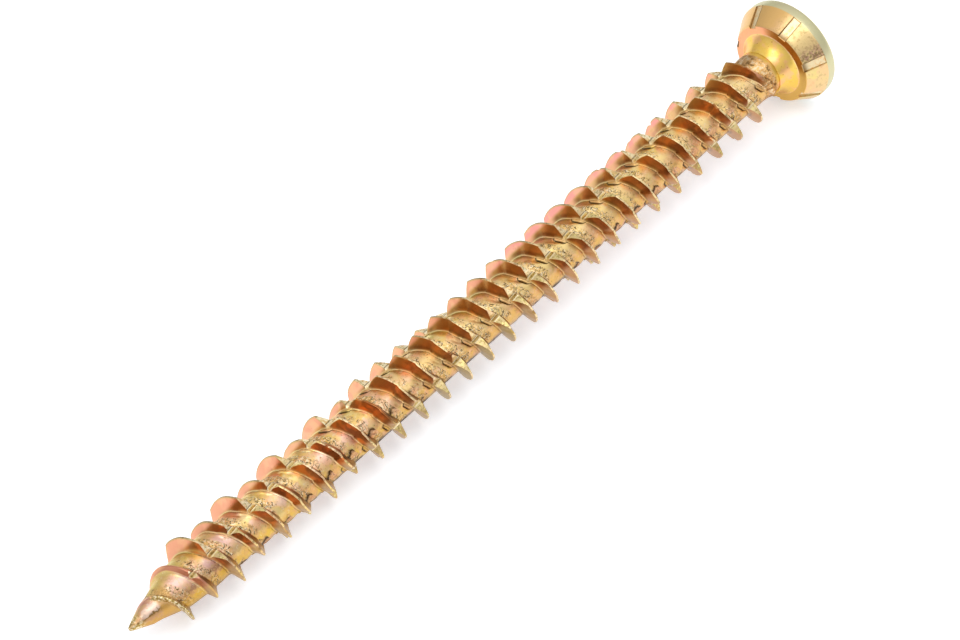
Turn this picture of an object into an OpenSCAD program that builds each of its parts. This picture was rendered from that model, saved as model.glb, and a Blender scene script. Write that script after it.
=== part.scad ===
// Concrete frame screw in one piece: a countersunk head with a six-lobed drive
// recess, a short flared neck, and a core that carries a two-start thread to the tip.
// It is drawn standing on its tip along Z, then laid on its head and its thread.

/* [Overall] */
// Length over all, from the tip to the top of the head
screw_len = 100; // [80:1:130]
// Diameter over the full thread
thread_d = 7.5; // [6.9:0.1:9]
// Diameter of the core between the threads
core_d = 4.65; // [3.8:0.05:5.6]

/* [Thread] */
// Distance along the axis from one thread to the next, half the lead of the two starts
thread_step = 3.27; // [2.7:0.01:4]
// Place along the axis at which the tall thread would cross the +X side
thread_start = 1.81; // [1:0.01:3]
// How much less the low thread rises, which runs between turns of the tall one behind the tip
low_thread_drop = 0.575; // [0.2:0.025:0.8]
// Distance from the tip at which the low thread starts to grow to the full diameter
low_thread_end = 31.6; // [20:0.1:50]
// Width of a thread at its root
root_w = 1.1; // [0.8:0.05:1.4]
// Width of a thread at its crest
crest_w = 0.25; // [0.1:0.05:0.5]

/* [Notches] */
// Notches in each turn of a thread
notch_count = 3; // [2:1:4]
// Angle from the middle of a notch to its end at the crest of the full thread
notch_half_angle = 24; // [14:1:28]
// Height of the bottom of a notch above the core
notch_floor = 0.1; // [0.05:0.05:0.3]
// Angle by which the notches fall back from one thread to the next
notch_drift = 8; // [0:0.01:11]
// Angle from +X of a row of notches, carried on down to the point
notch_start = 20; // [0:1:119]

/* [Tip] */
// Length of the tip, from its point to the full core
tip_len = 8.4; // [6:0.1:12]
// Radius of the blunt point
point_r = 0.18; // [0.1:0.01:0.4]

/* [Head] */
// Diameter of the head
head_d = 11.5; // [10:0.1:14]
// Diameter of the flat underside of the head, where the cone starts
seat_d = 9.085; // [8.585:0.05:10.085]
// Height of the cone between the flat underside and the rim
cone_h = 2.2; // [1.8:0.05:3]
// Height of the plain rim
rim_h = 0.8; // [0.4:0.05:1.5]
// Radius of the edge between the rim and the top
edge_r = 0.6; // [0.2:0.05:0.8]
// Height of the flared neck under the head
neck_h = 1.8; // [1.4:0.05:3]
// Number of countersinking grooves round the cone
groove_count = 7; // [3:1:8]
// Width of a countersinking groove
groove_w = 0.95; // [0.5:0.05:1.4]
// Depth of a groove where it opens on the flat underside
groove_depth = 0.5; // [0.2:0.05:0.7]
// Depth of a groove where it ends under the rim
groove_end_depth = 0.14; // [0:0.02:0.3]
// Angle by which the head with its grooves is turned on the shank
head_turn = 1.7; // [0:0.1:51]

/* [Drive recess] */
// Diameter over the six lobes of the recess
drive_d = 5.6; // [4.5:0.05:6.7]
// Depth of the straight part of the recess
drive_depth = 2.8; // [2:0.1:3.2]

/* [Hidden] */
$fn = 96;

core_r = core_d / 2;
thread_r = thread_d / 2;
low_thread_r = thread_r - low_thread_drop;
head_r = head_d / 2;

// Heights of the head, counted from the tip
underside_z = screw_len - cone_h - rim_h - edge_r;
rim_z = underside_z + cone_h;
neck_z = underside_z - neck_h;

// Radii round the head: the flat ring under it lies between the neck and the cone
neck_top_r = thread_r - 0.12;
seat_r = seat_d / 2;
blank_r = core_r + 0.17;
neck_r = blank_r + 0.1;
neck_hollow = 0.22;

// Core radius against distance from the tip, with the bulge where the first thread starts
core_line = [
    [0, point_r],
    [0.15 * tip_len, 0.29 * core_r],
    [0.27 * tip_len, 0.47 * core_r],
    [0.39 * tip_len, 0.55 * core_r],
    [0.55 * tip_len, 0.73 * core_r],
    [0.73 * tip_len, 0.94 * core_r],
    [tip_len, core_r],
    [neck_z - 2, core_r],
    [neck_z - 0.6, blank_r]
];

// The threads grow out of the tip and run out into the neck
first_crest = 0.35 * tip_len;
full_crest = tip_len + 0.3;
runout_z = neck_z - 6;
growth = [[first_crest, 0], [0.66 * tip_len, 0.8], [full_crest, 1]];
runout = [[runout_z, 1], [neck_z - 0.8, 0.45], [neck_z - 0.3, 0.1]];

// The mesh of the thread: columns that follow the notches, rows that follow the crests
fillers = round(15 / notch_count);
notch_span = 360 / notch_count;
filler_step = (notch_span - 2 * notch_half_angle) / (fillers + 1);
low_share = (low_thread_r - core_r - notch_floor) / (thread_r - core_r - notch_floor);
notch_columns = [
    -notch_half_angle,
    -low_share * notch_half_angle,
    0,
    low_share * notch_half_angle,
    for (i = [0:fillers]) notch_half_angle + i * filler_step
];
columns = [for (n = [0:notch_count - 1]) for (a = notch_columns) n * notch_span + a];
column_count = len(columns);
drift_per_mm = notch_drift / thread_step;
crest_step = 180 / (180 / thread_step + drift_per_mm);
crest_offset = (notch_start / 180 + thread_start / thread_step) * crest_step;
section = [
    [-root_w / 2, 0],
    [-crest_w / 2, 1],
    [crest_w / 2, 1],
    [root_w / 2, 0],
    [crest_step / 2, 0]
];
section_count = len(section);
turn_rows = 2 * section_count;
plain_tip = 0.2 * tip_len;
mesh_start = 0.32 * tip_len;
mesh_end = neck_z - 0.3;
least_gap = 0.12;
first_row = section_count * (floor((mesh_start - crest_offset) / crest_step) - 3);
last_row = section_count * (ceil((mesh_end - crest_offset) / crest_step) + 1);
row_count = last_row - first_row + 1;

// The plain rings below and above the rows: the point, the tip, and the stub in the head
rings = [
    [0, point_r],
    [plain_tip, lookup(plain_tip, core_line)],
    [mesh_start, lookup(mesh_start, core_line)],
    [mesh_end, blank_r],
    [neck_z + 1, blank_r]
];
ring_base = row_count * column_count;

// The screw touches the floor with the rim's lower edge and the first full crest
contact_turn = ceil((full_crest - thread_start) / thread_step - 1.5);
contact_crest = thread_start + thread_step * (1.5 + 2 * ceil(contact_turn / 2));
lean = asin((head_r - thread_r) / (rim_z - contact_crest));
axis_lift = head_r * cos(lean) - rim_z * sin(lean);
far_x = (screw_len - edge_r) * cos(lean) + (head_r - edge_r) * sin(lean) + edge_r;
near_x = -point_r * sin(lean);
mid_x = (far_x + near_x) / 2;

function is_low(row) = floor(row / section_count) % 2 != 0;

function row_z(row, column) =
    crest_offset + (columns[column] / 180 + floor(row / section_count)) * crest_step
    + section[row_part(row)][0];

function row_part(row) = row - section_count * floor(row / section_count);

function column_angle(z, column) = columns[column] + notch_start - drift_per_mm * z;

// Side of the crest on which a row runs: 1 and -1 for the two edges of the crest, 0 elsewhere
function crest_side(row) = section[row_part(row)][1] == 0 ? 0 : sign(section[row_part(row)][0]);

// How far a column lies from the middle of its notch, as a share of the notch's half width
function notch_share(column) = abs(notch_columns[column % len(notch_columns)]) / notch_half_angle;

// Radius of a thread's crest at height z, if no notch cuts it
function crest_r(z, low) =
    let (
        low_end = low_thread_end,
        full = low ? lookup(z, [[low_end, low_thread_r], [low_end + thread_step, thread_r]]) : thread_r,
        rise = lookup(z, growth) * lookup(z, runout),
        base = lookup(z, core_line)
    )
    base + rise * max(0, full - base);

// Radius of a thread's crest at height z, with the notches cut
function cut_crest_r(z, low, column) =
    let (
        base = lookup(z, core_line),
        notch_r = base + notch_floor + notch_share(column) * (thread_r - base - notch_floor)
    )
    min(crest_r(z, low), notch_r);

function point_radius(row, column) =
    let (
        z = row_z(row, column),
        base = lookup(z, core_line)
    )
    base + section[row_part(row)][1] * (cut_crest_r(z, is_low(row), column) - base);

// A notch cuts the thread where it is wider, so the edges of the crest move apart there
function point_z(row, column) =
    let (
        z = row_z(row, column),
        full = crest_r(z, is_low(row)) - lookup(z, core_line),
        lost = crest_r(z, is_low(row)) - cut_crest_r(z, is_low(row), column)
    )
    z + crest_side(row) * (root_w - crest_w) / 2 * (full > 0 ? lost / full : 0);

function on_ring(z, r, column) =
    [r * cos(column_angle(z, column)), r * sin(column_angle(z, column)), z];

function ring_point(ring, column) = ring_base + ring * column_count + column;

// Point of a row in a column. After the last column a row goes on one turn further up,
// and a row that would pass the start or the end of the mesh lies on the ring there.
function mesh_point(row, column) =
    column == column_count ? mesh_point(row + turn_rows, 0)
    : row_z(row, column) < mesh_start + least_gap ? ring_point(2, column)
    : row_z(row, column) > mesh_end - least_gap ? ring_point(3, column)
    : (row - first_row) * column_count + column;

function triangle(a, b, c) = a == b || b == c || c == a ? [] : [[a, b, c]];

function cell(a, b, c, d) = concat(triangle(a, b, c), triangle(a, c, d));

module shank() {
    points = concat(
        [
            for (row = [first_row:last_row])
            for (column = [0:column_count - 1])
            on_ring(point_z(row, column), point_radius(row, column), column)
        ],
        [for (ring = rings) for (column = [0:column_count - 1]) on_ring(ring[0], ring[1], column)]
    );
    rows = [
        for (row = [first_row:last_row - 1])
        for (column = [0:column_count - 1])
        each cell(
            mesh_point(row, column),
            mesh_point(row + 1, column),
            mesh_point(row + 1, column + 1),
            mesh_point(row, column + 1)
        )
    ];
    bands = [
        for (ring = [0, 1, 3])
        for (column = [0:column_count - 1])
        each cell(
            ring_point(ring, column),
            ring_point(ring + 1, column),
            ring_point(ring + 1, (column + 1) % column_count),
            ring_point(ring, (column + 1) % column_count)
        )
    ];
    point_face = [for (column = [0:column_count - 1]) ring_point(0, column)];
    stub_face = [for (column = [column_count - 1:-1:0]) ring_point(4, column)];
    color("goldenrod")
    polyhedron(points, concat(rows, bands, [point_face, stub_face]), convexity = 10);
}

// Outline of the head from the neck up, right of the axis
module head_outline() {
    chord = [neck_top_r - neck_r, neck_h];
    half_chord = norm(chord) / 2;
    hollow_r = (half_chord * half_chord + neck_hollow * neck_hollow) / (2 * neck_hollow);
    out = [chord[1], -chord[0]] / norm(chord) * (hollow_r - neck_hollow);
    middle = [(neck_r + neck_top_r) / 2, (neck_z + underside_z) / 2];
    difference() {
        polygon([[0, neck_z], [neck_r, neck_z], [neck_top_r, underside_z], [0, underside_z]]);
        translate(middle + out) circle(hollow_r);
    }
    polygon([
        [0, underside_z],
        [seat_r, underside_z],
        [head_r, rim_z],
        [head_r, rim_z + rim_h],
        [head_r - edge_r, screw_len],
        [0, screw_len]
    ]);
    translate([head_r - edge_r, screw_len - edge_r]) circle(edge_r);
}

// Grooves that run up the cone, deepest where they open on the flat underside
module countersink_grooves() {
    floor_end = rim_z - 0.05;
    for (i = [0:groove_count - 1])
        rotate([90, 0, i * 360 / groove_count])
            translate([0, 0, -groove_w / 2])
                linear_extrude(groove_w)
                    polygon([
                        [seat_r - groove_depth, underside_z - 0.1],
                        [head_r - groove_end_depth, floor_end],
                        [head_r + 1, floor_end],
                        [head_r + 1, underside_z - 0.1]
                    ]);
}

module drive_recess() {
    lobe_pull = 0.569 * drive_d;
    lobe_r = 0.212 * drive_d;
    floor_z = screw_len - drive_depth;
    translate([0, 0, floor_z])
        linear_extrude(drive_depth + 1)
            difference() {
                circle(d = drive_d);
                for (i = [0:5])
                    rotate(30 + 60 * i)
                        translate([lobe_pull, 0])
                            circle(lobe_r);
            }
    translate([0, 0, floor_z - 0.5])
        cylinder(h = 0.51, r1 = 0.1, r2 = 0.35 * drive_d);
}

module head() {
    color("gold")
    rotate(head_turn)
    difference() {
        rotate_extrude() head_outline();
        countersink_grooves();
        drive_recess();
    }
}

module screw() {
    translate([-mid_x, 0, axis_lift])
        rotate([0, -lean, 0])
            rotate([90, 0, 90]) {
                shank();
                head();
            }
}

screw();
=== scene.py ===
"""A concrete frame screw, cold-formed in one piece and yellow-chromated, lying on a pale floor.

It is modelled upright in millimetres, standing on its tip along Z, and then laid down.
Angles round the screw are in degrees, counted from +X the way the thread climbs.
"""

import math

import bpy
import numpy as np
from mathutils import Matrix, Vector


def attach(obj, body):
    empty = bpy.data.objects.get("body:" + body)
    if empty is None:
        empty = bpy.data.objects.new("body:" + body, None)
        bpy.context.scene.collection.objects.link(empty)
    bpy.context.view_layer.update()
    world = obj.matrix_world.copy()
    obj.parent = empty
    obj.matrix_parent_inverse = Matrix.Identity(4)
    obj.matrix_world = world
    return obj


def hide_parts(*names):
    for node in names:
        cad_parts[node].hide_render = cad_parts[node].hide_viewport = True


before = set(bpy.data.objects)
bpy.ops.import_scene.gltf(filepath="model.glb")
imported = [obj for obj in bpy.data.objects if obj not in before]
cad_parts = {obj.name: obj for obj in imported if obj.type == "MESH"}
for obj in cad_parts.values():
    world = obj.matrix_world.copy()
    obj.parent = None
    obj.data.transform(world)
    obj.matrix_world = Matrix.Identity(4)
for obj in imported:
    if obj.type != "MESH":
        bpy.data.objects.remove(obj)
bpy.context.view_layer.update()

# Sizes, in millimetres and degrees
LENGTH = 100.0
THREAD_R = 3.75
LOW_THREAD_R = 3.175
CORE_R = 2.325
THREAD_STEP = 3.27
THREAD_START = 1.81
ROOT_HALF = 0.56
CREST_HALF = 0.09
LOW_THREAD_END = 31.6

NOTCHES = 3
NOTCH_HALF = 24.0
NOTCH_FLOOR = 0.08
NOTCH_DRIFT = 8.0 / THREAD_STEP
NOTCH_START = 20.0

NECK_Z = 94.6
UNDERSIDE_Z = 96.4
RIM_Z = 98.6
RIM_H = 0.8
EDGE_R = 0.6
HEAD_R = 5.75
SEAT_R = 4.5425
NECK_R = 2.6
NECK_TOP_R = 3.63
GROOVES = 7
GROOVE_START = 1.7
GROOVE_SPAN = 360 / GROOVES
GROOVE_W = 0.95
GROOVE_DEPTH = 0.32
DRIVE_W = 5.6
DRIVE_DEPTH = 2.8

# How it lies: the axis starts LIFT over the floor at the tip and rises by LEAN to the head,
# and the tip is MIDDLE away from the origin
LEAN = math.radians(1.3428)
LIFT = 3.4378
MIDDLE = 50.0446

# The angle round the screw that faces a viewer who looks down on it from its tip
FRONT = 120.9

# The thread is drawn with its rows of notches straight, so its crests lie a little closer
CREST_STEP = 180 / (180 / THREAD_STEP + NOTCH_DRIFT)
CREST_OFFSET = (NOTCH_START / 180 + THREAD_START / THREAD_STEP) * CREST_STEP
NOTCH_SPAN = 360 / NOTCHES

# Laps beside the notches: angles from a notch, and millimetres from a crest
LAP_MIDDLE = -6.0
LAP_HALF = 18.0
LAP_ROOT = 0.6
LAP_WIDTH = 0.44
LAP_HEIGHT = 0.085
CREASE_DEPTH = 0.07

# Wear and nicks of the crests, and how far they lean to the tip, all round and on the front
WEAR = 0.03
NICK = 0.25
LEAN_ROUND = 0.05
LEAN_FRONT = 0.22
CREST_SWELL = 0.02
# Rounding of the foot of a flank, and half the thread's width where it starts on the tip
FOOT = 0.07
FIRST_ROOT_HALF = 0.24
CORE_UNEVEN = 0.018

# Burrs across a notch and pads pressed up beside it
BURR_AT = 3.5
BURR_HEIGHT = 0.11
PAD_ACROSS = 1.25
PAD_HEIGHT = 0.05

# How far the front of the thread stands from its true place, and how much more near a notch
THREAD_PUSH = -0.12
NOTCH_PUSH = -0.25
PUSH_MIDDLE = -33.0
PUSH_WIDTH = 28.0

# Vertices closer than this are merged, in millimetres; the finished screw needs a wider merge
MERGE = 0.0004
LAST_MERGE = 0.005
SMOOTH_BELOW = math.radians(32)


# Handling the meshes


def deselect():
    bpy.ops.object.select_all(action="DESELECT")


def pick(obj):
    deselect()
    obj.select_set(True)
    bpy.context.view_layer.objects.active = obj


def edit(obj):
    pick(obj)
    bpy.ops.object.mode_set(mode="EDIT")
    bpy.ops.mesh.select_all(action="SELECT")


def leave_edit():
    bpy.ops.object.mode_set(mode="OBJECT")


def line_of_edges(name, points):
    """Edges through the points, each drawn out of the one before it."""
    deselect()
    bpy.ops.mesh.primitive_plane_add(size=1)
    obj = bpy.context.object
    obj.name = name
    edit(obj)
    bpy.ops.mesh.merge(type="CENTER")
    bpy.ops.transform.translate(value=points[0])
    for here, there in zip(points, points[1:]):
        step = Vector(there) - Vector(here)
        bpy.ops.mesh.extrude_vertices_move(TRANSFORM_OT_translate={"value": step})
    leave_edit()
    return obj


def apply_modifier(obj, kind, **settings):
    pick(obj)
    modifier = obj.modifiers.new(kind.lower(), kind)
    for key, value in settings.items():
        setattr(modifier, key, value)
    bpy.ops.object.modifier_apply(modifier=modifier.name)


def tidy_faces(obj, distance=MERGE):
    edit(obj)
    bpy.ops.mesh.remove_doubles(threshold=distance)
    bpy.ops.mesh.select_all(action="SELECT")
    bpy.ops.mesh.normals_make_consistent(inside=False)
    leave_edit()


# The thread


def value_noise(u, v, seed, wrap=None):
    """Smooth noise from -1 to 1 on a plane, a bump in each unit, that repeats after wrap in u."""
    table = np.random.default_rng(seed).uniform(-1, 1, (257, 257))
    iu, iv = np.floor(u).astype(int), np.floor(v).astype(int)
    fu, fv = u - iu, v - iv
    fu, fv = fu * fu * (3 - 2 * fu), fv * fv * (3 - 2 * fv)
    width = wrap or 257
    a0, a1 = iu % width % 257, (iu + 1) % width % 257
    b0, b1 = iv % 257, (iv + 1) % 257
    low = table[a0, b0] * (1 - fu) + table[a1, b0] * fu
    high = table[a0, b1] * (1 - fu) + table[a1, b1] * fu
    return low * (1 - fv) + high * fv


def smooth_line(z, stations, values, blur=0.25):
    """Straight lines between the stations, with their corners rounded over the blur."""
    offsets = (-1, -0.5, 0, 0.5, 1)
    return sum(np.interp(z + blur * k, stations, values) for k in offsets) / len(offsets)


def core_radius(z):
    """Radius of the core: a blunt tip, a straight shank and a slight swell at the neck."""
    stations = [-1, 0, 0.1, 0.6, 1.28, 2.3, 3.3, 4.6, 6.15, 8.4, 92.6, 94.0, 99]
    swell = CORE_R + 0.15
    tip = [0.06, 0.14, 0.24, 0.46, 0.72, 1.13, 1.3, 1.7, 2.16]
    return smooth_line(z, stations, tip + [CORE_R, CORE_R, swell, swell], 0.12)


def crest_height(z, low):
    """Height of an uncut crest over the core."""
    core = core_radius(z)
    grows = [LOW_THREAD_END, LOW_THREAD_END + THREAD_STEP]
    low_full = np.interp(z, grows, [LOW_THREAD_R, THREAD_R])
    full = np.where(low, low_full, THREAD_R) - core
    tall_growth = np.interp(z, [2.8, 3.84, 4.7, 5.64, 7.3, 8.9], [0, 0.16, 0.45, 0.72, 0.92, 1])
    low_growth = np.interp(z, [4.0, 5.64, 7.28, 8.9], [0, 0.45, 0.8, 1])
    runout = smooth_line(z, [90.9, 92.2, 93.2, 94.2], [1, 0.62, 0.28, 0.03], 0.3)
    return full * np.where(low, low_growth, tall_growth) * runout


def bell(x):
    return np.exp(-x * x)


def step_up(x):
    """Rises smoothly from 0 to 1 while x does."""
    x = np.clip(x, 0, 1)
    return x * x * (3 - 2 * x)


# Angles of the mesh's columns from the middle of a notch: close in the notch, wider between
NOTCH_COLUMNS = [1.2, 2.4, 3.5, 4.6, 6, 8.2, 11, 14.5, 18, 21.5, 24, 27]
PLAIN_COLUMNS = 11
GAP = (NOTCH_SPAN - 2 * NOTCH_COLUMNS[-1]) / (PLAIN_COLUMNS + 1)
SECTOR = (
    [0]
    + NOTCH_COLUMNS
    + [NOTCH_COLUMNS[-1] + GAP * (i + 1) for i in range(PLAIN_COLUMNS)]
    + [NOTCH_SPAN - a for a in reversed(NOTCH_COLUMNS)]
)
COLUMNS = len(SECTOR) * NOTCHES

# Points across a thread: places down a flank from its root at 0 to its crest at 1, and
# places on the core between the threads, from the head side of one to the tip side of the next
FLANK = [0, 0.1, 0.22, 0.4, 0.6, 0.8, 1]
BAND = [0.82, 1.1, 1.4, 1.68, 1.88, 1.99, 2.1, 2.22, 2.36]


def thread_nodes():
    """For each point across the two threads: its thread, kind of place, side and measure."""
    nodes = []
    for low in (0, 1):
        nodes += [(low, "flank", -1, t) for t in FLANK]
        nodes += [(low, "land", 1, 0)]
        nodes += [(low, "flank", 1, t) for t in reversed(FLANK)]
        nodes += [(low, "band", 1, a) for a in BAND]
    nodes.append((2, "flank", -1, FLANK[0]))
    return nodes


def thread_points(nodes, steps, first_angle):
    """Places of the thread's points, a row at a time: with every notch, burr, lap and nick."""
    index = np.arange(steps + 1)
    sector = np.array(SECTOR)[index % len(SECTOR)]
    column = sector + NOTCH_SPAN * (index // len(SECTOR)) + first_angle
    from_notch = np.where(sector > NOTCH_SPAN / 2, sector - NOTCH_SPAN, sector)[:, None]
    turn_no = np.array([n[0] for n in nodes])[None, :]
    low = turn_no == 1
    is_band = np.array([n[1] == "band" for n in nodes])[None, :]
    is_land = np.array([n[1] == "land" for n in nodes])[None, :]
    side = np.array([n[2] for n in nodes])[None, :]
    measure = np.array([n[3] for n in nodes], dtype=float)[None, :]

    crest_z = CREST_OFFSET + (column[:, None] / 180 + turn_no) * CREST_STEP
    crest_angle = column[:, None] + NOTCH_START - NOTCH_DRIFT * crest_z
    crest_no = np.round((crest_z - THREAD_START) / THREAD_STEP * 2)

    # The crest, worn a little all along, with a nick here and there
    along = crest_z / THREAD_STEP * 2
    wear = WEAR * value_noise(crest_angle / 16, along, 11) ** 2
    wear += NICK * step_up((value_noise(crest_angle / 9 + 40, along * 3, 12) - 0.62) * 4)
    uncut = crest_height(crest_z, low)
    worn = np.clip(uncut * (1 - wear * 0.5) - wear * 0.25, 0, None)
    slope = (THREAD_R - CORE_R - NOTCH_FLOOR) / NOTCH_HALF
    shallower = 1.5 * step_up((7.6 - crest_z) / 1.6)
    cut = NOTCH_FLOOR + np.abs(from_notch) * slope + shallower
    top = np.minimum(worn, cut)
    share = np.where(worn > 1e-6, top / np.maximum(worn, 1e-6), 1)
    # The thread is narrower where it starts on the tip
    root_half = np.interp(crest_z, [3.5, 9], [FIRST_ROOT_HALF, ROOT_HALF])
    top_half = root_half + (CREST_HALF - root_half) * share

    # Places across the thread, and heights over the core
    ease = 0.16
    rise = (np.sqrt(measure**2 + ease**2) - ease) / (math.sqrt(1 + ease**2) - ease)
    flank_a = side * (top_half + (root_half + FOOT - top_half) * (1 - measure))
    across = np.where(is_band, measure, np.where(is_land, 0, flank_a))
    height = np.where(is_band, 0, np.where(is_land, 1, rise)) * top
    # The crest is slightly rounded across its land
    height = np.where(is_land, height + CREST_SWELL * share * (worn > 0.3), height)

    # A burr stands across the bottom of each notch in two thin ridges
    uneven = 0.75 + 0.35 * value_noise(crest_z * 5, from_notch * 0.1, 14)
    burr = BURR_HEIGHT * bell(np.abs(from_notch) - BURR_AT) * uneven
    on_floor = (share < 0.6) & ~is_band & (worn > 0.5)
    height = height + np.where(on_floor, burr * step_up(measure * 3 + is_land), 0)

    # The crest leans to the tip, most of all on the front
    front = np.cos(np.radians(crest_angle - FRONT))
    lean = LEAN_ROUND + LEAN_FRONT * front
    z = crest_z + across - lean * np.clip(height / (THREAD_R - CORE_R), 0, 1)
    radius = core_radius(z) + height

    # A lap folded over the tip side of the root beside each notch, with a crease along it
    back = np.where(is_band, across - CREST_STEP, across)
    present = step_up((crest_z - 8) / 3) * step_up((93 - crest_z) / 2)
    lens = np.clip(1 - ((from_notch - LAP_MIDDLE) / LAP_HALF) ** 4, 0, 1)
    lens = lens * step_up((crest_z - 7) / 1.5)
    edge = -LAP_ROOT - LAP_WIDTH * lens
    on_lap = step_up((back - edge) / 0.14) * step_up((-0.42 - back) / 0.2)
    crease = bell((back - edge + 0.03) / 0.09) * step_up(lens * 1.2)
    crease = crease * step_up((crest_z - 23) / 4)
    lap = LAP_HEIGHT * on_lap * lens - CREASE_DEPTH * crease
    radius = radius + np.where(is_band | (side < 0), present, 0) * lap

    # A pad pressed up on the core on the head side of each notch
    pad_shift = 4 * value_noise(crest_no * 0.71, np.full((1, 1), 2.5), 16)
    pad = 1 - ((across - PAD_ACROSS) / 0.66) ** 2 - ((from_notch + 20 + pad_shift) / 25) ** 2
    radius = radius + np.where(is_band, PAD_HEIGHT * step_up(pad * 2.5), 0) * present

    # The core is not quite round
    spin = column[:, None] + NOTCH_START - NOTCH_DRIFT * z
    uneven = CORE_UNEVEN * value_noise(spin / 24, z * 0.9, 17, wrap=15)
    radius = radius + uneven * step_up(z / 6)

    # On the front the thread is pushed to the tip a little, more so beside each row of notches
    beside_notch = bell((from_notch - PUSH_MIDDLE) / PUSH_WIDTH)
    z = z + np.clip(front, 0, 1) * (THREAD_PUSH + NOTCH_PUSH * beside_notch) * present

    angle = np.radians(spin)
    return np.stack([radius * np.cos(angle), radius * np.sin(angle), z], axis=-1)


def make_shank():
    """A line across the two threads, screwed up the shank, and each of its points put in place."""
    nodes = thread_nodes()
    shank = line_of_edges("screw", [(CORE_R, 0, 0.1 * row) for row in range(len(nodes))])
    order = np.argsort([v.co.z for v in shank.data.vertices])

    # It starts well below the tip and ends over the neck, and both ends are cut off
    first_angle = -480
    turns_z = NECK_Z + 1.2 + CREST_STEP / 2 - CREST_OFFSET
    sectors = math.ceil((turns_z / CREST_STEP * 180 - first_angle) / NOTCH_SPAN)
    steps = sectors * len(SECTOR)
    apply_modifier(
        shank,
        "SCREW",
        axis="Z",
        angle=math.radians(360 / COLUMNS),
        screw_offset=2 * CREST_STEP / COLUMNS,
        steps=1,
        render_steps=1,
        iterations=steps,
        use_merge_vertices=False,
    )
    placed = np.empty((steps + 1, len(nodes), 3))
    placed[:, order] = thread_points(nodes, steps, first_angle)
    shank.data.vertices.foreach_set("co", placed.reshape(-1).astype(np.float32))
    shank.data.update()

    tidy_faces(shank)
    for height, up in ((0.0, False), (NECK_Z + 1.0, True)):
        edit(shank)
        bpy.ops.mesh.bisect(
            plane_co=(0, 0, height),
            plane_no=(0, 0, 1),
            use_fill=True,
            clear_inner=not up,
            clear_outer=up,
        )
        leave_edit()
    tidy_faces(shank)
    return shank


# The head


def arc(centre, radius, start, stop, count):
    """Points along an arc in the XZ plane, from the start angle to the stop angle."""
    points = []
    for i in range(count + 1):
        turn = math.radians(start + (stop - start) * i / count)
        points.append((centre[0] + radius * math.cos(turn), 0, centre[1] + radius * math.sin(turn)))
    return points


def make_head():
    """The flared neck, flat underside, cone, rim and top, turned from one outline."""
    outline = [
        (0, 0, NECK_Z),
        (NECK_R * 0.6, 0, NECK_Z),
        (NECK_R - 0.06, 0, NECK_Z),
        (NECK_R, 0, NECK_Z + 0.05),
    ]
    for i in range(1, 10):
        t = i / 10
        hollow = 0.88 * t * (1 - t)
        radius = NECK_R + (NECK_TOP_R - NECK_R) * t - 0.87 * hollow
        outline.append((radius, 0, NECK_Z + (UNDERSIDE_Z - NECK_Z) * t + 0.5 * hollow))
    outline += [
        (NECK_TOP_R - 0.02, 0, UNDERSIDE_Z - 0.03),
        (NECK_TOP_R + 0.05, 0, UNDERSIDE_Z),
        (SEAT_R - 0.3, 0, UNDERSIDE_Z),
        (SEAT_R - 0.04, 0, UNDERSIDE_Z + 0.01),
        (SEAT_R + 0.03, 0, UNDERSIDE_Z + 0.06),
    ]
    for i in range(1, 6):
        t = i / 6
        radius = SEAT_R + (HEAD_R - SEAT_R) * t
        outline.append((radius, 0, UNDERSIDE_Z + (RIM_Z - UNDERSIDE_Z) * t))
    outline += [
        (HEAD_R - 0.03, 0, RIM_Z - 0.06),
        (HEAD_R, 0, RIM_Z + 0.04),
        (HEAD_R, 0, RIM_Z + RIM_H * 0.5),
        (HEAD_R, 0, RIM_Z + RIM_H),
    ]
    outline += arc((HEAD_R - EDGE_R, LENGTH - EDGE_R), EDGE_R, 0, 90, 6)[1:]
    outline += [(4.2, 0, LENGTH), (3.2, 0, LENGTH), (1.6, 0, LENGTH), (0, 0, LENGTH)]
    head = line_of_edges("head", outline)
    apply_modifier(
        head,
        "SCREW",
        axis="Z",
        angle=math.radians(360),
        screw_offset=0,
        steps=120,
        render_steps=120,
        iterations=1,
        use_merge_vertices=True,
        merge_threshold=0.0001,
    )
    tidy_faces(head)
    return head


def make_groove_cutter():
    """A wedge for each groove, whose floor climbs from the underside to the top of the cone."""
    side = -GROOVE_W / 2
    floor_end = RIM_Z - 0.04
    outline = [
        (SEAT_R - GROOVE_DEPTH, side, UNDERSIDE_Z - 0.1),
        (HEAD_R + 1, side, UNDERSIDE_Z - 0.1),
        (HEAD_R + 1, side, floor_end + 0.02),
        (HEAD_R - 0.14, side, floor_end),
    ]
    parts = []
    for i in range(GROOVES):
        wedge = line_of_edges("groove", outline + outline[:1])
        edit(wedge)
        bpy.ops.mesh.remove_doubles(threshold=0.001)
        bpy.ops.mesh.select_all(action="SELECT")
        bpy.ops.mesh.edge_face_add()
        bpy.ops.mesh.extrude_region_move(TRANSFORM_OT_translate={"value": (0, GROOVE_W, 0)})
        leave_edit()
        tidy_faces(wedge)
        pick(wedge)
        wedge.rotation_euler = (0, 0, math.radians(GROOVE_START + GROOVE_SPAN * i))
        bpy.ops.object.transform_apply(rotation=True)
        parts.append(wedge)
    deselect()
    for part in parts:
        part.select_set(True)
    bpy.context.view_layer.objects.active = parts[0]
    bpy.ops.object.join()
    return parts[0]


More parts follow.
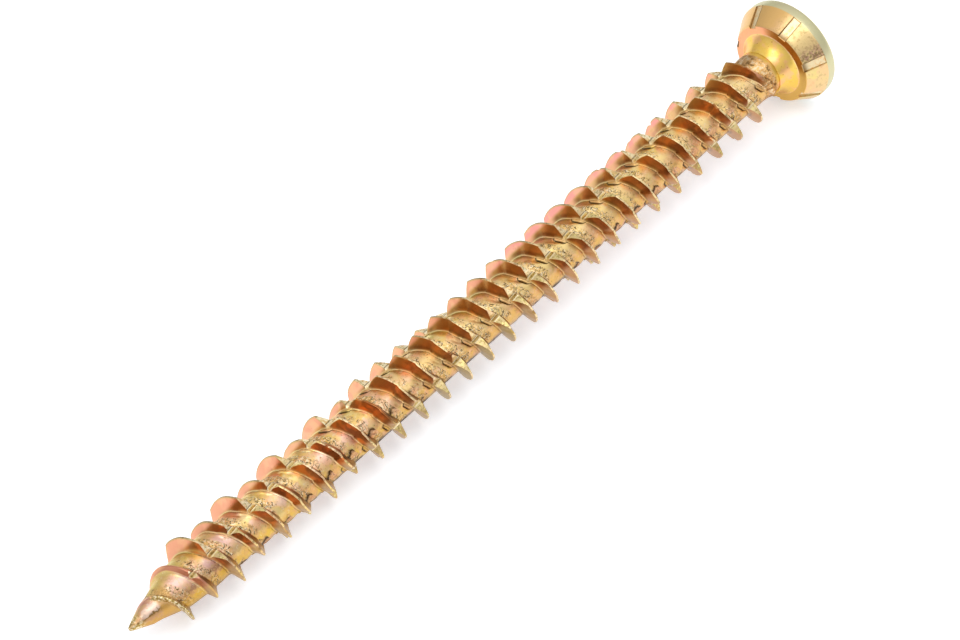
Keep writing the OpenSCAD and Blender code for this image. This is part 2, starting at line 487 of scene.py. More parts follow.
def make_drive_cutter():
    """A six-lobed driver with a shallow point."""
    # Six round dents, one between each two lobes, pushed in from outside the circle
    dent_middle, dent_r = 0.569 * DRIVE_W, 0.212 * DRIVE_W
    outline = []
    count = 120
    for i in range(count + 1):
        turn = math.radians(360 * i / count)
        off = turn - math.radians(30 + 60 * round((360 * i / count - 30) / 60))
        inside = dent_r**2 - (dent_middle * math.sin(off)) ** 2
        radius = DRIVE_W / 2
        if inside > 0:
            radius = min(radius, dent_middle * math.cos(off) - math.sqrt(inside))
        outline.append((radius * math.cos(turn), radius * math.sin(turn), LENGTH + 0.5))
    cutter = line_of_edges("drive", outline)
    edit(cutter)
    bpy.ops.mesh.remove_doubles(threshold=0.001)
    bpy.ops.mesh.select_all(action="SELECT")
    bpy.ops.mesh.edge_face_add()
    bpy.ops.mesh.extrude_region_move(TRANSFORM_OT_translate={"value": (0, 0, -DRIVE_DEPTH - 0.5)})
    bpy.ops.mesh.extrude_region_move(TRANSFORM_OT_translate={"value": (0, 0, -0.5)})
    bpy.ops.transform.resize(value=(0.3, 0.3, 1), center_override=(0, 0, LENGTH))
    leave_edit()
    tidy_faces(cutter)
    return cutter


def cut(obj, cutter):
    apply_modifier(obj, "BOOLEAN", object=cutter, operation="DIFFERENCE", solver="EXACT")
    bpy.data.objects.remove(cutter)


def make_screw():
    """Shank and head made one, and laid down."""
    shank = make_shank()
    head = make_head()
    cut(head, make_groove_cutter())
    cut(head, make_drive_cutter())
    tidy_faces(head)
    apply_modifier(shank, "BOOLEAN", object=head, operation="UNION", solver="MANIFOLD")
    bpy.data.objects.remove(head)
    tidy_faces(shank, LAST_MERGE)
    pick(shank)
    bpy.ops.object.shade_smooth_by_angle(angle=SMOOTH_BELOW)
    # Laid on its head and its thread, in metres
    z_to_x = Matrix(((0, 0, 1, 0), (1, 0, 0, 0), (0, 1, 0, 0), (0, 0, 0, 1)))
    laid = Matrix.Translation((-MIDDLE, 0, LIFT)) @ Matrix.Rotation(-LEAN, 4, "Y") @ z_to_x
    shank.matrix_world = Matrix.Scale(0.001, 4) @ laid
    bpy.ops.object.transform_apply(location=True, rotation=True, scale=True)
    return shank


# The material: values, finishes and colours


class Value:
    """A number, colour or vector in a material. Sums written with it add Math nodes."""

    def __init__(self, finish, socket):
        self.finish = finish
        self.socket = socket

    def sum(self, operation, *values):
        return self.finish.node("ShaderNodeMath", {"operation": operation}, dict(enumerate(values)))

    def __add__(self, other):
        return self.sum("ADD", self, other)

    def __radd__(self, other):
        return self.sum("ADD", other, self)

    def __sub__(self, other):
        return self.sum("SUBTRACT", self, other)

    def __rsub__(self, other):
        return self.sum("SUBTRACT", other, self)

    def __mul__(self, other):
        return self.sum("MULTIPLY", self, other)

    def __rmul__(self, other):
        return self.sum("MULTIPLY", other, self)

    def __truediv__(self, other):
        return self.sum("DIVIDE", self, other)

    def __neg__(self):
        return self.sum("MULTIPLY", self, -1)

    def __abs__(self):
        return self.sum("ABSOLUTE", self)

    def __pow__(self, other):
        return self.sum("POWER", self, other)

    def least(self, other):
        return self.sum("MINIMUM", self, other)

    def most(self, other):
        return self.sum("MAXIMUM", self, other)

    def whole(self):
        return self.sum("ROUND", self)

    def root(self):
        return self.sum("SQRT", self)

    def ramp(self, start, stop):
        """Rises smoothly from 0 at start to 1 at stop, which may be the smaller of the two."""
        settings = {"interpolation_type": "SMOOTHSTEP"}
        inputs = {"Value": self, "From Min": start, "From Max": stop}
        return self.finish.node("ShaderNodeMapRange", settings, inputs)

    def bell(self, width):
        """1 where the value is 0, falling away over the width on both sides."""
        return self.sum("EXPONENT", -((self / width) ** 2))

    def bump_at(self, middle, width):
        """1 close to the middle and 0 beyond the width."""
        return abs(self - middle).ramp(width, width * 0.35)


class Finish:
    """A material in the making, whose tone is built up in layers."""

    def __init__(self, name):
        self.material = bpy.data.materials.new(name)
        self.material.use_nodes = True
        self.tree = self.material.node_tree
        self.shader = self.tree.nodes["Principled BSDF"]
        self.tone = None

    def node(self, kind, settings=None, inputs=None, output=0):
        made = self.tree.nodes.new(kind)
        for key, value in (settings or {}).items():
            setattr(made, key, value)
        for key, value in (inputs or {}).items():
            self.feed(made.inputs[key], value)
        return Value(self, made.outputs[output])

    def feed(self, socket, value):
        if isinstance(value, Value):
            self.tree.links.new(value.socket, socket)
        else:
            socket.default_value = value

    def colour(self, amount, base, over, how="MIX"):
        """The base colour with the other one laid over it, as far as the amount says."""
        settings = {"data_type": "RGBA", "blend_type": how}
        return self.node("ShaderNodeMix", settings, {0: amount, 6: base, 7: over}, output=2)

    def lay(self, amount, over, how="MIX"):
        """Lays one more colour over the tone."""
        self.tone = self.colour(amount, self.tone, over, how)

    def noise(self, place, scale, detail=2.0, rough=0.55, warp=0.0):
        inputs = {
            "Vector": place,
            "Scale": scale,
            "Detail": detail,
            "Roughness": rough,
            "Distortion": warp,
        }
        return self.node("ShaderNodeTexNoise", None, inputs)

    def spots(self, place, scale):
        """Distance to the nearest of many scattered points."""
        return self.node("ShaderNodeTexVoronoi", None, {"Vector": place, "Scale": scale})


def rgb(red, green, blue):
    return (red, green, blue, 1)


# Tones of the plating, and the colours of its painted highlights and shade
PEACH = rgb(0.90, 0.52, 0.26)
SALMON = rgb(0.92, 0.46, 0.29)
HIGHLIGHT_BLUSH = rgb(0.96, 0.64, 0.52)
GOLD = rgb(0.90, 0.60, 0.16)
HIGHLIGHT_WARM_GOLD = rgb(0.94, 0.68, 0.30)
HIGHLIGHT_GOLD = rgb(1.0, 0.76, 0.32)
DEEP_GOLD = rgb(0.74, 0.47, 0.06)
OLIVE_GOLD = rgb(0.62, 0.48, 0.13)
YELLOW = rgb(0.86, 0.58, 0.10)
LEMON = rgb(0.86, 0.74, 0.28)
TAN = rgb(0.80, 0.47, 0.17)
HIGHLIGHT_TAN = rgb(0.96, 0.64, 0.26)
STRAW = rgb(0.86, 0.70, 0.34)
LIME = rgb(0.74, 0.62, 0.20)
OLIVE = rgb(0.48, 0.36, 0.11)
DARK_OLIVE = rgb(0.30, 0.23, 0.11)
MAUVE = rgb(0.60, 0.34, 0.25)
DUSKY_PINK = rgb(0.68, 0.42, 0.38)
BRUISE = rgb(0.40, 0.20, 0.13)
CREAM = rgb(0.95, 0.84, 0.60)
CREST_HIGHLIGHT = rgb(0.86, 0.72, 0.42)
CUT_FACE_SHADED = rgb(0.66, 0.51, 0.25)
CUT_FACE_LIT = rgb(0.90, 0.70, 0.30)
BROWN = rgb(0.17, 0.09, 0.03)
SLOT_BROWN = rgb(0.12, 0.06, 0.02)
DARK_BROWN = rgb(0.07, 0.035, 0.01)
RUST_AND_SHADE_RED = rgb(0.42, 0.145, 0.035)
SHADE_DARK_RED = rgb(0.25, 0.085, 0.014)
SHADE_ORANGE = rgb(0.66, 0.19, 0.04)
SHADE_OLIVE = rgb(0.40, 0.21, 0.04)
SHADE_MAUVE = rgb(0.50, 0.20, 0.12)

# The flanks that stand over the shank, and those that hang below it
HIGH_ORANGE = rgb(0.78, 0.36, 0.21)
HIGH_PINK = rgb(0.84, 0.34, 0.28)
LOW_OLIVE = rgb(0.40, 0.27, 0.06)
LOW_WARM = rgb(0.56, 0.27, 0.09)
LOW_TAN = rgb(0.52, 0.31, 0.11)
LOW_FLECK = rgb(0.64, 0.44, 0.15)

# The tip
TIP_FACET = rgb(0.74, 0.56, 0.45)
TIP_BAND = rgb(0.60, 0.36, 0.12)
TIP_LOW = rgb(0.60, 0.34, 0.09)

# The head
NECK_GOLD = rgb(0.84, 0.54, 0.08)
SEAT_RED = rgb(0.88, 0.37, 0.19)
SEAT_GOLD = rgb(0.66, 0.42, 0.09)
AMBER = rgb(0.36, 0.16, 0.02)
CONE_TAN = rgb(0.68, 0.40, 0.18)
CONE_PALE = rgb(0.76, 0.56, 0.27)
CONE_TOP = rgb(0.76, 0.47, 0.17)
CONE_FLECK = rgb(0.46, 0.30, 0.10)
CONE_SPECK = rgb(0.26, 0.17, 0.06)
GROOVE_FLOOR = rgb(0.84, 0.70, 0.44)
STEEL = rgb(0.60, 0.60, 0.38)

# Painted shade that the under side is multiplied by
UNDER_SHADE = rgb(0.82, 0.76, 0.70)
DEEP_UNDER_SHADE = rgb(0.58, 0.52, 0.48)

PAPER = rgb(0.9, 0.9, 0.9)
PAPER_GLOW = rgb(0.80, 0.88, 1)

# How fast the floor of a notch rises on both sides, in millimetres a degree
CUT_SLOPE = 0.056
# Where the thread's run-out ends, and the angle from the front of a painted dark line, the floor's
# shadow reflected along the under side
SHANK_END = 94.4
SHADOW_LINE_ANGLE = 77
TO_RADIANS = math.pi / 180


class Places:
    """Where each point of the screw lies, for the layers of the plating to be laid by.

    Lengths are in millimetres and angles in degrees. The layers add masks that later ones need.
    """

    def __init__(self, f):
        place = f.node("ShaderNodeTexCoord", output="Object")
        mm = f.node("ShaderNodeVectorMath", {"operation": "SCALE"}, {0: place, "Scale": 1000.0})
        parts = f.tree.nodes.new("ShaderNodeSeparateXYZ")
        f.feed(parts.inputs[0], mm)
        x, y, z = (Value(f, parts.outputs[i]) for i in range(3))

        # Upright again: distance from the tip, from the axis, and angle round it
        x, z = x + MIDDLE, z - LIFT
        self.along = x * math.cos(LEAN) + z * math.sin(LEAN)
        up = z * math.cos(LEAN) - x * math.sin(LEAN)
        self.radius = (y * y + up * up).root()
        turned = f.node("ShaderNodeMath", {"operation": "ARCTAN2"}, {0: up, 1: y})
        self.angle = turned * (180 / math.pi)
        from_front = (self.angle - FRONT) * TO_RADIANS
        self.facing = f.node("ShaderNodeMath", {"operation": "COSINE"}, {0: from_front})
        self.lower = f.node("ShaderNodeMath", {"operation": "SINE"}, {0: from_front})

        # Distance from the nearest crest, and angle from the nearest row of notches
        row = (self.angle - NOTCH_START + NOTCH_DRIFT * self.along) / NOTCH_SPAN
        self.notch = (row - row.whole()) * NOTCH_SPAN
        beside_notch = ((self.notch - PUSH_MIDDLE) / PUSH_WIDTH).bell(1)
        push = self.facing.most(0) * (THREAD_PUSH + NOTCH_PUSH * beside_notch)
        push = push * self.along.ramp(7.5, 11.5)
        turn = (self.along - push - THREAD_START) / THREAD_STEP - self.angle / 180
        self.crest_no = turn.whole()
        self.across = (turn - self.crest_no) * THREAD_STEP
        self.shank = self.along.ramp(SHANK_END, SHANK_END - 0.4)

        # Height over the core, and height of the crest there
        self.height = self.radius - (0.16 + 0.36 * self.along).least(CORE_R)
        half_no = self.crest_no * 0.5
        odd = abs(half_no - half_no.whole()) * 2
        missing = (THREAD_R - LOW_THREAD_R) * odd * self.along.ramp(33.2, 31.8)
        full = (THREAD_R - CORE_R) - missing
        self.top = (NOTCH_FLOOR + abs(self.notch) * CUT_SLOPE).least(full)

        # Noises, from broad patches to fine grain
        aside = {0: mm, 1: (31.0, 7.0, 3.0)}
        elsewhere = f.node("ShaderNodeVectorMath", {"operation": "ADD"}, aside)
        self.broad = f.noise(mm, 0.42, 2.5, 0.5, 0.4)
        self.other = f.noise(elsewhere, 0.6, 2.5, 0.5, 0.3)
        self.scales = f.noise(elsewhere, 1.3, 2.0, 0.6, 1.2)
        self.small = f.noise(mm, 2.6, 3.0, 0.6)
        self.grain = f.noise(elsewhere, 3.8, 2.5, 0.6)
        self.pits = f.spots(mm, 2.6)

        # The way a point faces, made uneven, and how near the tip it is
        self.turned_to = self.lower + (self.broad - 0.5) * 1.2
        self.behind_tip = self.along.ramp(30, 44)
        self.near_tip = self.along.ramp(15, 10)


def lay_tones(f, at):
    """The plating's tones in patches, changing with the side they face, with a painted highlight
    down the front of the core.
    """
    f.tone = f.colour(at.broad.ramp(0.40, 0.58), GOLD, PEACH)
    f.lay(at.other.ramp(0.50, 0.64) * 0.7, SALMON)
    f.lay(at.other.ramp(0.50, 0.38) * 0.6, STRAW)
    # A painted highlight down the front of the core: blush near the tip, warm gold further on
    middle = (at.turned_to + 0.05).bell(0.36)
    f.lay(middle * at.other.ramp(0.40, 0.56) * (0.9 - 0.45 * at.behind_tip), HIGHLIGHT_BLUSH)
    f.lay(middle * at.other.ramp(0.54, 0.42) * at.behind_tip * 0.7, HIGHLIGHT_WARM_GOLD)
    f.lay(at.turned_to.ramp(0.40, 0.70) * 0.75, TAN)
    patchy = at.behind_tip * at.small.ramp(0.48, 0.56)
    f.lay(at.turned_to.ramp(0.10, 0.45) * patchy * 0.6, SALMON)
    yellowed = at.other.ramp(0.56, 0.48) * (1 - 0.5 * at.behind_tip)
    f.lay((at.turned_to + (at.small - 0.5) * 0.8).ramp(0.50, 0.80) * yellowed, YELLOW)
    f.lay(at.turned_to.ramp(-0.80, -1.0) * 0.6, LIME)
    # More painted highlight, in gold, down the front away from the tip
    f.lay((at.turned_to - 0.02).bell(0.48) * at.behind_tip * 0.65, HIGHLIGHT_GOLD)

    # Near the tip: pink in front, bruised under that, olive above and golden below
    f.lay((at.turned_to + 0.05).bell(0.38) * at.near_tip * 0.95, DUSKY_PINK)
    bruised = (at.lower - 0.42 + (at.small - 0.5) * 0.7).bell(0.16)
    f.lay(bruised * at.near_tip * at.along.ramp(4.5, 5.5) * 0.85, BRUISE)
    f.lay(at.lower.ramp(-0.5, -0.75) * at.near_tip * 0.6, OLIVE_GOLD)
    low_side = (at.lower + (at.small - 0.5) * 0.5).ramp(0.60, 0.78)
    f.lay(low_side * at.near_tip * 0.85, DEEP_GOLD)

    f.lay(at.small.ramp(0.56, 0.70) * 0.4, CREAM)
    f.lay(at.small.ramp(0.44, 0.32) * 0.4, OLIVE)


def lay_torn_ground(f, at):
    """Rough ground on the head side of a crest and round each notch, with a painted highlight where
    it faces the front, and pits.
    """
    beside = at.across.ramp(0.2, 0.45) * at.across.ramp(1.9, 1.2)
    reach = abs(at.notch + 4).ramp(46, 26) * 0.6 + at.other.ramp(0.42, 0.56) * 0.6
    at.torn = reach.least(1) * beside * at.shank * (0.6 + 0.4 * at.along.ramp(7, 11))
    at.speck = at.grain.ramp(0.50, 0.40)
    at.tear = abs(at.scales - 0.50).ramp(0.028, 0.008) * at.torn.ramp(0.1, 0.45)
    lip = abs(at.scales - 0.53).ramp(0.020, 0.006) * at.torn.ramp(0.2, 0.6)
    # Painted highlight: lighter tan where the rough ground faces the front, away from the tip
    f.lay(at.torn * 0.6, f.colour(at.behind_tip * at.facing.ramp(0.6, 0.9), TAN, HIGHLIGHT_TAN))
    f.lay(at.torn * at.small.ramp(0.50, 0.58) * 0.45, LIME)
    f.lay(at.torn * at.grain.ramp(0.54, 0.62) * 0.7, CREAM)
    f.lay(at.torn * at.speck * 0.5, BROWN)
    f.lay(lip * 0.8, CREAM)
    f.lay(at.tear * 0.9, DARK_BROWN)
    f.lay(at.speck * at.other.ramp(0.4, 0.6) * 0.2, OLIVE)
    at.pitted = at.pits.ramp(0.26, 0.1) * at.broad.ramp(0.46, 0.56)
    at.pitted = at.pitted * at.along.ramp(12, 20) * at.shank * 0.7
    f.lay(at.pitted * 0.7, BROWN)


def lay_flanks(f, at):
    """The flanks: pink where they stand over the shank, painted shade in dark warm reds across it,
    golden below.
    """
    on_thread = abs(at.across).ramp(0.74, 0.64) * at.shank
    below_crest = at.top - at.height
    flank = at.height.ramp(0.02, 0.11) * below_crest.ramp(0.02, 0.08) * on_thread
    tip_side = at.across.ramp(-0.02, -0.1)
    aside = at.radius * at.lower
    over = (aside + 2.2 + 0.0115 * at.along).ramp(0.2, -0.25)
    # Painted shade: the flanks that lie across the shank as seen from the front, in dark warm reds
    shaded_flank = flank * (1 - over) * aside.ramp(2.2, 1.4) * (0.3 + 0.7 * at.facing.ramp(-0.2, 0.2))
    f.lay(flank * (0.5 + 0.4 * at.other.ramp(0.4, 0.55)), SALMON)
    high = f.colour(at.along.ramp(50, 58), HIGH_ORANGE, HIGH_PINK)
    f.lay(flank * over * (0.6 + 0.4 * at.other.ramp(0.42, 0.54)), high)

    shade_red = f.colour(at.behind_tip, SHADE_ORANGE, RUST_AND_SHADE_RED)
    flank_shade = f.colour(at.other.ramp(0.42, 0.56), shade_red, SHADE_DARK_RED)
    flank_shade = f.colour(aside.ramp(-1.0, -2.4) * (0.45 + 0.35 * at.behind_tip), flank_shade, SHADE_OLIVE)
    flank_shade = f.colour(at.along.ramp(9.5, 8.0), flank_shade, SHADE_MAUVE)
    f.lay(shaded_flank * (0.35 + 0.55 * tip_side), flank_shade)
    # More painted shade in brown: low on the tip side, and on the head side towards the lower half
    deeper_shade = at.height.ramp(0.7, 0.3) * at.broad.ramp(0.40, 0.56) * at.behind_tip
    f.lay(shaded_flank * tip_side * deeper_shade * 0.7, BROWN)
    f.lay(shaded_flank * (1 - tip_side) * at.lower.ramp(-0.1, 0.3) * 0.8, BROWN)

    blade = flank * aside.ramp(1.3, 2.1)
    golden = f.colour(at.along.ramp(48, 60), LOW_OLIVE, LOW_WARM)
    at.golden = f.colour(at.along.ramp(42, 36), golden, LOW_TAN)
    f.lay(blade * 0.95, at.golden)
    f.lay(blade * at.small.ramp(0.50, 0.62) * 0.4, LOW_FLECK)
    # Painted shade: darker olive near the crests on the upper side
    crest_shade_band = below_crest.ramp(0.22, 0.04) * at.height.ramp(0.1, 0.3) * on_thread
    f.lay(crest_shade_band * at.lower.ramp(-0.5, -0.8) * 0.55, OLIVE)


def lay_crests(f, at):
    """Crest lines with a painted highlight, the cut faces of the notches painted lighter above and
    darker below, and the burrs across their floors with painted shade in the slots beside them.
    """
    crest = (at.top - at.height).ramp(0.05, 0.01) * at.height.ramp(0.05, 0.1) * at.shank
    cut = crest * abs(at.notch).ramp(24, 20)
    head_side, tip_side = at.notch.ramp(-2, 2), at.notch.ramp(2, -2)
    # Painted highlight: a pale line along the crest edges, fainter on the lower side near the tip
    crest_light = 1 - 0.5 * at.lower.ramp(-0.2, 0.3) * at.along.ramp(34, 28)
    f.lay(crest * crest_light * (0.5 + 0.4 * at.small), CREST_HIGHLIGHT)
    # The cut faces are painted lighter on the upper side and darker below, as lit and shaded copies
    lit_and_shaded_cut = f.colour(at.lower.ramp(0.1, -0.3), CUT_FACE_SHADED, CUT_FACE_LIT)
    f.lay(cut * head_side * (0.4 + 0.4 * at.lower.ramp(0.85, 0.6)), lit_and_shaded_cut)
    f.lay(cut * at.lower.ramp(0.8, 0.95) * 0.7, at.golden)
    f.lay(cut * tip_side * 0.7, f.colour(at.small.ramp(0.38, 0.50), TAN, CREAM))
    # Painted shade: darker olive on the crest lines of the upper side, away from the notches
    f.lay((crest - cut) * at.lower.ramp(-0.6, -0.85) * 0.75, DARK_OLIVE)
    f.lay(cut * head_side * at.small.ramp(0.50, 0.60) * 0.7, LEMON)
    f.lay(cut * at.grain.ramp(0.48, 0.40) * 0.7, OLIVE)
    f.lay((crest - cut * 0.7) * at.speck * 0.6, BROWN)
    crossing = abs(at.across).ramp(0.75, 0.6) * at.shank * at.along.ramp(6.4, 7.4)
    burr = (abs(at.notch) - BURR_AT).bell(1.0) * crossing
    # Painted shade in the hollow slots beside the burrs
    slot = (at.notch.bell(0.7) * 0.45 + (at.notch + 6.2).bell(0.8) * 0.9).least(1) * crossing
    f.lay(slot * 0.95, SLOT_BROWN)
    f.lay(burr * 0.9, CREAM)
    at.crest = crest


def lay_laps(f, at):
    """The lap beside a notch, the crease along it darkened with painted shade, and a painted
    highlight along the line where a flank meets the core.
    """
    lens = (1 - ((at.notch - LAP_MIDDLE) / LAP_HALF) ** 4).most(0) * at.along.ramp(7, 8.5)
    from_crease = at.across + LAP_ROOT + LAP_WIDTH * lens
    at.crease = (from_crease + 0.03).bell(0.085) * lens.ramp(0.02, 0.3)
    at.crease = at.crease * at.along.ramp(23.5, 27.5) * at.shank
    at.lapped = from_crease.ramp(0.02, 0.1) * at.across.ramp(-0.5, -0.62)
    at.lapped = at.lapped * lens.ramp(0, 0.1) * at.shank
    f.lay(at.lapped * 0.4, TAN)
    root = (at.across + LAP_ROOT + 0.02).bell(0.045) * at.shank * at.along.ramp(5, 7)
    second = (at.across + LAP_ROOT + 0.17).bell(0.05) * at.shank * at.along.ramp(7, 9)
    f.lay(second * at.small.ramp(0.38, 0.5) * 0.65, BROWN)
    # The pale line along the root is a painted highlight
    f.lay(root * 0.6, STRAW)
    # The crease is a fold in the metal, painted dark as shade
    f.lay(at.crease, DARK_BROWN)


def lay_pads(f, at):
    """Pads pressed into the core, pink under a ragged dark arch of painted shade, and a broken
    painted dark line where the floor's shadow is reflected.
    """
    number = {"W": at.crest_no}
    chance = f.node("ShaderNodeTexWhiteNoise", {"noise_dimensions": "1D"}, number)
    around = (at.notch + 24 + 10 * (chance - 0.5)) * (TO_RADIANS * CORE_R)
    around = around + (at.small - 0.5) * 0.5
    spread = abs(at.across - PAD_ACROSS - 0.3 * (chance - 0.5) + (at.broad - 0.5) * 0.7)
    on_core = at.shank * at.along.ramp(10, 13) * at.height.ramp(0.12, 0.08)
    on_core = on_core * at.lower.ramp(0.1, 0.4)
    below = around + 0.65 - 0.65 * spread
    patch = below.ramp(0, 0.1) * around.ramp(0.5, 0.2) * spread.ramp(0.7, 0.5) * on_core
    # The dark arch along each pad's edge is painted shade, laid only on the lower side of the shank
    at.mark = below.bell(0.2) * spread.ramp(0.95, 0.8) * on_core * at.along.ramp(77.5, 76)
    f.lay(patch * 0.45, SALMON)
    f.lay(at.mark, DARK_BROWN)

    # Painted shade: a broken dark line along the under side, where the floor's shadow is reflected
    beside = (at.angle - FRONT - SHADOW_LINE_ANGLE) / 360
    shadow_line = ((beside - beside.whole()) * 360).bell(8)
    shadow_line = shadow_line * at.height.ramp(0.12, 0.04) * at.broad.ramp(0.42, 0.46)
    shadow_line = shadow_line * at.along.ramp(16, 30) * (1 - 0.8 * at.along.ramp(56, 68)) * at.shank
    f.lay(shadow_line, DARK_BROWN)


def lay_tip(f, at):
    """The tip: a pale facet with a dark ragged edge, golden under it, and a beaded ridge."""
    on_tip = at.along.ramp(3.5, 3.0) * at.along.ramp(0.9, 1.7)
    ragged = at.lower + (at.small - 0.5) * 0.9
    facet = ragged.ramp(-0.6, -0.4) * ragged.ramp(0.3, 0.15) * on_tip
    band = at.along.ramp(4.9, 4.5) * at.along.ramp(2.9, 3.3) * ragged.ramp(-0.9, -0.6)
    point = at.along.ramp(1.6, 0.8)
    f.lay(band * 0.8, TIP_BAND)
    f.lay(ragged.ramp(-0.2, -0.5) * on_tip * 0.6, MAUVE)
    f.lay(ragged.ramp(0.15, 0.35) * at.along.ramp(4.6, 3.6), TIP_LOW)
    f.lay((ragged - 0.55).bell(0.18) * on_tip * 0.5, MAUVE)
    f.lay(facet * 0.85, TIP_FACET)
    f.lay((ragged - 0.28).bell(0.11) * on_tip * 0.85, BROWN)
    f.lay(at.along.ramp(1.6, 0.6) * 0.6, OLIVE)
    f.lay(point * at.grain.ramp(0.46, 0.38) * 0.7, BROWN)
    f.lay(point * at.grain.ramp(0.52, 0.60) * 0.7, CREAM)

    ridge = at.along.ramp(5.8, 5.2) * at.along.ramp(2.6, 3.0)
    ridge = ridge * abs(at.across).ramp(0.42, 0.25) * at.lower.ramp(-0.75, -0.5)
    f.lay(ridge * 0.75, OLIVE)
    f.lay(ridge * at.grain.ramp(0.50, 0.58) * 0.8, CREAM)
    f.lay(ridge * at.grain.ramp(0.46, 0.38) * 0.7, BROWN)


def lay_run_out(f, at):
    """Rough ground where the thread runs out, painted shade in the step where the neck starts, and
    painted shade on the under side.
    """
    at.left_rough = at.along.ramp(92.0, 92.7) * at.shank
    f.lay(at.left_rough * 0.6, TAN)
    f.lay(at.left_rough * at.small.ramp(0.46, 0.38) * 0.75, BROWN)
    f.lay(at.left_rough * at.small.ramp(0.54, 0.62) * 0.7, CREAM)
    f.lay(at.left_rough * at.lower.ramp(-0.4, -0.8) * 0.5, BROWN)
    # A painted dark line of shade in the step where the neck starts
    f.lay(at.along.bump_at(94.5, 0.22) * 0.55, BROWN)

    # Painted shade: the lower side of the core, near the roots, multiplied darker
    under_shade_tone = f.colour(at.lower.ramp(0.93, 1.0), UNDER_SHADE, DEEP_UNDER_SHADE)
    on_root = at.height.ramp(0.45, 0.15) * at.shank
    f.lay(at.lower.ramp(0.35, 0.62) * at.along.ramp(3, 6) * on_root, under_shade_tone, "MULTIPLY")


def lay_head(f, at):
    """The head: a golden neck, patchy cone, pale groove floors with painted shade on their walls
    and deep ends, and a greenish rim.
    """
    neck = (1 - at.shank) * at.along.ramp(96.38, 96.3)
    seat = at.along.bump_at(UNDERSIDE_Z, 0.06) * at.radius.ramp(3.62, 3.7)
    cone = at.along.ramp(96.42, 96.5) * at.along.ramp(98.7, 98.6)
    at.rim = at.along.ramp(98.55, 98.65) * at.radius.ramp(5.55, 5.7)
    f.lay(neck * 0.75, NECK_GOLD)
    f.lay(neck * at.other.ramp(0.5, 0.6) * 0.5, SALMON)
    f.lay(neck * at.pits.ramp(0.3, 0.1) * at.small.ramp(0.5, 0.6) * 0.6, RUST_AND_SHADE_RED)
    f.lay(seat * 0.85, SEAT_RED)
    f.lay(seat * at.lower.ramp(0.2, 0.6) * 0.9, SEAT_GOLD)
    f.lay(seat * at.facing.ramp(0.6, 0.85) * 0.85, AMBER)

    low_side = cone * at.lower.ramp(0.55, 0.75)
    mottled = cone * (at.lower - 0.42).bell(0.15)
    f.lay(cone * 0.8, f.colour(at.lower.ramp(-0.7, -0.1), CONE_TAN, CONE_PALE))
    f.lay(cone * at.small.ramp(0.54, 0.64) * 0.5, CONE_FLECK)
    f.lay(cone * at.turned_to.ramp(-0.25, -0.5) * 0.85, CONE_TOP)
    f.lay(low_side * at.broad.ramp(0.42, 0.54) * 0.6, PEACH)
    f.lay(low_side * at.other.ramp(0.52, 0.42) * 0.6, LIME)
    f.lay(mottled * at.small.ramp(0.42, 0.56) * 0.85, MAUVE)
    f.lay(mottled * at.grain.ramp(0.56, 0.44) * 0.75, CONE_SPECK)

    # A groove's floor lies under the cone's face
    flare = (HEAD_R - SEAT_R) / (RIM_Z - UNDERSIDE_Z)
    cone_r = SEAT_R + (at.along - UNDERSIDE_Z) * flare
    sunk = (cone_r - at.radius).ramp(0.03, 0.07) * cone * at.radius.ramp(3.9, 4.1)
    turned = (at.angle - GROOVE_START) / GROOVE_SPAN
    from_groove = abs(turned - turned.whole()) * GROOVE_SPAN * TO_RADIANS * at.radius
    wall = from_groove.bump_at(GROOVE_W / 2, 0.1) * cone
    in_view = at.lower.ramp(0.85, 0.7) * at.lower.ramp(-0.85, -0.75)
    f.lay(sunk * 0.75, GROOVE_FLOOR)
    f.lay(sunk * at.small.ramp(0.50, 0.58) * 0.6, TAN)
    # Painted shade: brown in the deep end of each groove's floor and on its walls
    f.lay(sunk * at.radius.ramp(4.75, 4.35) * in_view * 0.85, BROWN)
    f.lay(wall * (0.1 + 0.7 * at.lower.ramp(0.75, 0.4)), BROWN)
    f.lay(at.rim * 0.85, STEEL)


LAYERS = [
    lay_tones,
    lay_torn_ground,
    lay_flanks,
    lay_crests,
    lay_laps,
    lay_pads,
    lay_tip,
    lay_run_out,
    lay_head,
]


def yellow_zinc():
    """Yellow-chromated zinc: bright, in shifting tones, rough and speckled where the dies bit, with
    painted highlights and shade in its colour.
    """
    f = Finish("yellow zinc")
    at = Places(f)
    for lay in LAYERS:
        lay(f, at)
    f.feed(f.shader.inputs["Base Color"], f.tone)
    f.shader.inputs["Metallic"].default_value = 1
    rough_ground = at.torn + at.left_rough
    rough = 0.24 + 0.14 * at.small + 0.22 * rough_ground + 0.1 * at.crest
    rough = rough + 0.08 * at.rim + 0.2 * at.lapped + 0.1 * at.near_tip
    f.feed(f.shader.inputs["Roughness"], rough)
    relief = at.small * 0.6 + at.grain * (0.3 + 1.2 * rough_ground)
    relief = relief - at.pitted - at.mark * 1.5 - at.crease * 1.5 - at.tear * 1.2
    strength = {"Strength": 0.55, "Distance": 0.00003, "Height": relief}
    f.feed(f.shader.inputs["Normal"], f.node("ShaderNodeBump", None, strength))
    return f.material


screw = make_screw()
screw.name = "screw_body"
screw.data.materials.clear()
screw.data.materials.append(yellow_zinc())
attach(screw, "root")
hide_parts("screw")

# Floor, light and camera

FLOOR_SIZE = 6
PAPER_STRENGTH = 0.42
ROOM_LOW, ROOM_HIGH = 0.55, 0.95
LAMP_AT = (-0.1, -0.16, 0.9)
LAMP_SIZE = (0.9, 0.6)
LAMP_POWER = 2.6

deselect()
bpy.ops.mesh.primitive_plane_add(size=FLOOR_SIZE)
floor = bpy.context.object
floor.name = "floor"
paper = Finish("white paper")
paper.shader.inputs["Base Color"].default_value = PAPER
paper.shader.inputs["Roughness"].default_value = 0.95
paper.shader.inputs["Specular IOR Level"].default_value = 0.1
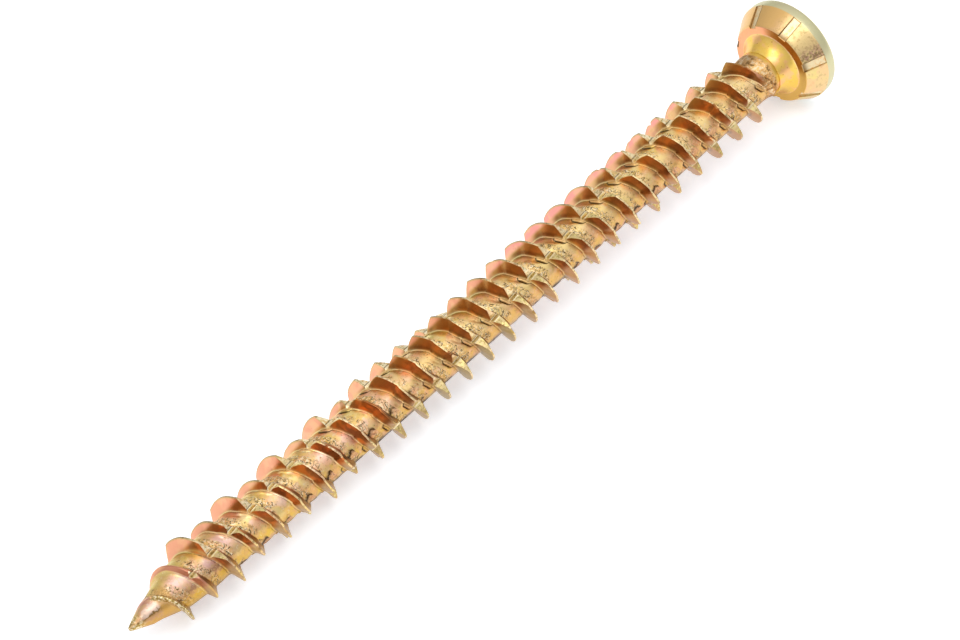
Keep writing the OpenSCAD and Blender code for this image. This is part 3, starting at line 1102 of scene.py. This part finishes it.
# What the camera sees of the paper is lit up, also in the screw's reflections
rays = paper.tree.nodes.new("ShaderNodeLightPath")
seen = Value(paper, rays.outputs["Is Camera Ray"]).most(Value(paper, rays.outputs["Is Glossy Ray"]))
paper.shader.inputs["Emission Color"].default_value = PAPER_GLOW
paper.feed(paper.shader.inputs["Emission Strength"], seen * PAPER_STRENGTH)
floor.data.materials.append(paper.material)

# A pale room, brightest overhead, and one large soft lamp high behind the screw
world = bpy.data.worlds.new("studio")
bpy.context.scene.world = world
world.use_nodes = True
room = world.node_tree
backdrop = room.nodes["Background"]
direction = room.nodes.new("ShaderNodeTexCoord")
split = room.nodes.new("ShaderNodeSeparateXYZ")
shade = room.nodes.new("ShaderNodeMapRange")
shade.interpolation_type = "SMOOTHSTEP"
room.links.new(direction.outputs["Generated"], split.inputs[0])
room.links.new(split.outputs["Z"], shade.inputs["Value"])
shade.inputs["From Min"].default_value = -0.1
shade.inputs["From Max"].default_value = 0.9
shade.inputs["To Min"].default_value = ROOM_LOW
shade.inputs["To Max"].default_value = ROOM_HIGH
room.links.new(shade.outputs[0], backdrop.inputs["Strength"])
backdrop.inputs["Color"].default_value = (1, 1, 1, 1)

lamp_data = bpy.data.lights.new("soft lamp", "AREA")
lamp_data.shape = "RECTANGLE"
lamp_data.size, lamp_data.size_y = LAMP_SIZE
lamp_data.energy = LAMP_POWER
lamp = bpy.data.objects.new("soft lamp", lamp_data)
bpy.context.scene.collection.objects.link(lamp)
lamp.location = LAMP_AT
lamp.rotation_euler = (-Vector(LAMP_AT)).to_track_quat("-Z", "Y").to_euler()

# The camera stands where the photographer's did: its place, its own directions and its lens
CAMERA_AT = (-0.220631, -0.186542, 0.311265)
RIGHT = (0.64716, -0.76235, 0.00139)
UP = (0.55432, 0.47182, 0.68565)
BACK = (-0.52337, -0.44296, 0.72793)
camera_data = bpy.data.cameras.new("camera")
camera_data.lens = 161.36
camera_data.sensor_width = 36
camera = bpy.data.objects.new("camera", camera_data)
bpy.context.scene.collection.objects.link(camera)
camera_turn = Matrix((RIGHT, UP, BACK)).transposed().to_4x4()
camera.matrix_world = Matrix.Translation(CAMERA_AT) @ camera_turn
bpy.context.scene.camera = camera
bpy.context.scene.view_settings.view_transform = "Standard"
